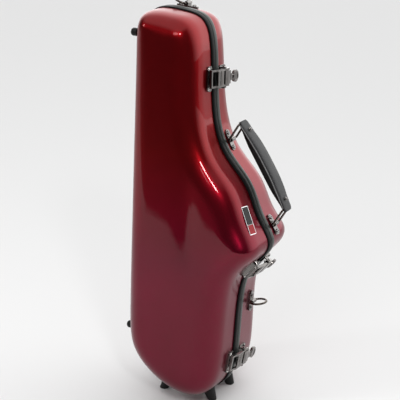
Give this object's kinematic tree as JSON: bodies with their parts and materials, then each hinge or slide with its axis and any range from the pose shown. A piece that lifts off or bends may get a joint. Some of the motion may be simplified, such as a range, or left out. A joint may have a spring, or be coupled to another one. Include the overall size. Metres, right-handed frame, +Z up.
{
  "type": "saxophone case",
  "caption": "Moulded hard-shell alto saxophone case standing on rubber feet, with a hinged lid, draw latches, a carry handle and strap rings.",
  "frame": {"origin": "middle of the case's bounding box at floor level, on the plane its feet stand on", "axes": "+Z up along the case's length, +X to the side with the handle and the latches, -Y out of the lid's face"},
  "size_m": [0.2687, 0.1862, 0.6717],
  "materials": {
    "shell": "gloss",
    "lid_trim": "satin",
    "base_trim": "satin",
    "seal": "matte",
    "lining": "matte",
    "insert": "matte",
    "strap": "matte",
    "hardware": "gloss",
    "bracket": "satin",
    "pins": "polished",
    "screws": "satin",
    "wire": "gloss",
    "grip": "satin",
    "grip_rivets": "satin",
    "feet": "satin",
    "badge_frame": "polished",
    "badge_inlay": "gloss"
  },
  "bodies": {
    "base": {"back_shell": "shell", "base_trim": "base_trim", "seam_seal": "seal", "base_insert": "insert", "tie_straps": "strap", "hinge_base_leaves": "hardware", "hinge_pins": "pins", "hinge_base_rivets": "pins", "latch_base_plates": "hardware", "latch_base_rivets": "pins", "latch_pivot_pins": "pins", "handle_brackets": "bracket", "handle_screws": "screws", "ring_brackets": "bracket", "ring_screws": "screws", "rear_feet": "feet", "rear_foot_screws": "screws", "rear_bumpers": "feet"},
    "lid": {"front_shell": "shell", "lid_trim": "lid_trim", "lid_lining": "lining", "lid_pad": "lining", "hinge_lid_leaves": "hardware", "hinge_lid_rivets": "pins", "latch_catch_plates": "hardware", "latch_catch_rivets": "pins", "front_feet": "feet", "front_foot_screws": "screws", "front_bumpers": "feet", "badge_plate": "badge_frame", "badge_inlay": "badge_inlay"},
    "lever_top": {"latch_lever_top": "hardware", "latch_claw_pin_top": "pins"},
    "claw_top": {"latch_claw_top": "hardware"},
    "lever_middle": {"latch_lever_middle": "hardware", "latch_claw_pin_middle": "pins"},
    "claw_middle": {"latch_claw_middle": "hardware"},
    "lever_bottom": {"latch_lever_bottom": "hardware", "latch_claw_pin_bottom": "pins"},
    "claw_bottom": {"latch_claw_bottom": "hardware"},
    "loop_upper": {"handle_loop_upper": "wire"},
    "loop_lower": {"handle_loop_lower": "wire"},
    "grip": {"handle_grip": "grip", "handle_grip_rivets": "grip_rivets"},
    "side_ring": {"side_ring": "wire"},
    "top_ring": {"top_ring": "wire"}
  },
  "joints": [
    {"name": "lid_hinge", "type": "hinge", "parent": "base", "child": "lid", "pos_m": [-0.12208, -0.0087, 0.36028], "axis": [-0.0378, 0, -0.9993], "range_deg": [0, 110]},
    {"name": "latch_lever_top", "type": "hinge", "parent": "base", "child": "lever_top", "pos_m": [0.01853, 0.00825, 0.54944], "axis": [0.0153, -0.0785, -0.9968], "range_deg": [0, 105]},
    {"name": "latch_claw_top", "type": "hinge", "parent": "lever_top", "child": "claw_top", "pos_m": [0.02054, 0.01822, 0.54868], "axis": [0.0153, -0.0785, -0.9968], "range_deg": [-93, 1]},
    {"name": "latch_lever_middle", "type": "hinge", "parent": "base", "child": "lever_middle", "pos_m": [0.09221, 0.00825, 0.24134], "axis": [-0.652, -0.0785, -0.7541], "range_deg": [0, 105]},
    {"name": "latch_claw_middle", "type": "hinge", "parent": "lever_middle", "child": "claw_middle", "pos_m": [0.09321, 0.01822, 0.23944], "axis": [-0.652, -0.0785, -0.7541], "range_deg": [-93, 1]},
    {"name": "latch_lever_bottom", "type": "hinge", "parent": "base", "child": "lever_bottom", "pos_m": [0.0572, 0.00825, 0.0702], "axis": [-0.1631, -0.0785, -0.9835], "range_deg": [0, 105]},
    {"name": "latch_claw_bottom", "type": "hinge", "parent": "lever_bottom", "child": "claw_bottom", "pos_m": [0.05904, 0.01822, 0.0691], "axis": [-0.1631, -0.0785, -0.9835], "range_deg": [-93, 1]},
    {"name": "handle_loop_upper", "type": "hinge", "parent": "base", "child": "loop_upper", "pos_m": [0.03105, 0.0163, 0.4475], "axis": [0, 1, 0], "range_deg": [-28, 77]},
    {"name": "handle_grip", "type": "hinge", "parent": "loop_upper", "child": "grip", "pos_m": [0.0488, 0.0163, 0.47591], "axis": [0, 1, 0], "range_deg": [-78, 29]},
    {"name": "handle_loop_lower", "type": "hinge", "parent": "base", "child": "loop_lower", "pos_m": [0.11052, 0.0163, 0.31607], "axis": [0, 1, 0], "range_deg": [-29, 78]},
    {"name": "side_ring", "type": "hinge", "parent": "base", "child": "side_ring", "pos_m": [0.06327, 0.0363, 0.1627], "axis": [0, 1, 0], "range_deg": [-66, 90]},
    {"name": "top_ring", "type": "hinge", "parent": "base", "child": "top_ring", "pos_m": [-0.05074, 0.0173, 0.6616], "axis": [0, 1, 0], "range_deg": [0, 150]}
  ],
  "couplings": [
    {"joint": "latch_claw_top", "follows": "latch_lever_top", "ratio": -0.875},
    {"joint": "latch_claw_middle", "follows": "latch_lever_middle", "ratio": -0.875},
    {"joint": "latch_claw_bottom", "follows": "latch_lever_bottom", "ratio": -0.875},
    {"joint": "handle_grip", "follows": "handle_loop_upper", "ratio": -1},
    {"joint": "handle_loop_lower", "follows": "handle_loop_upper", "ratio": 1}
  ]
}
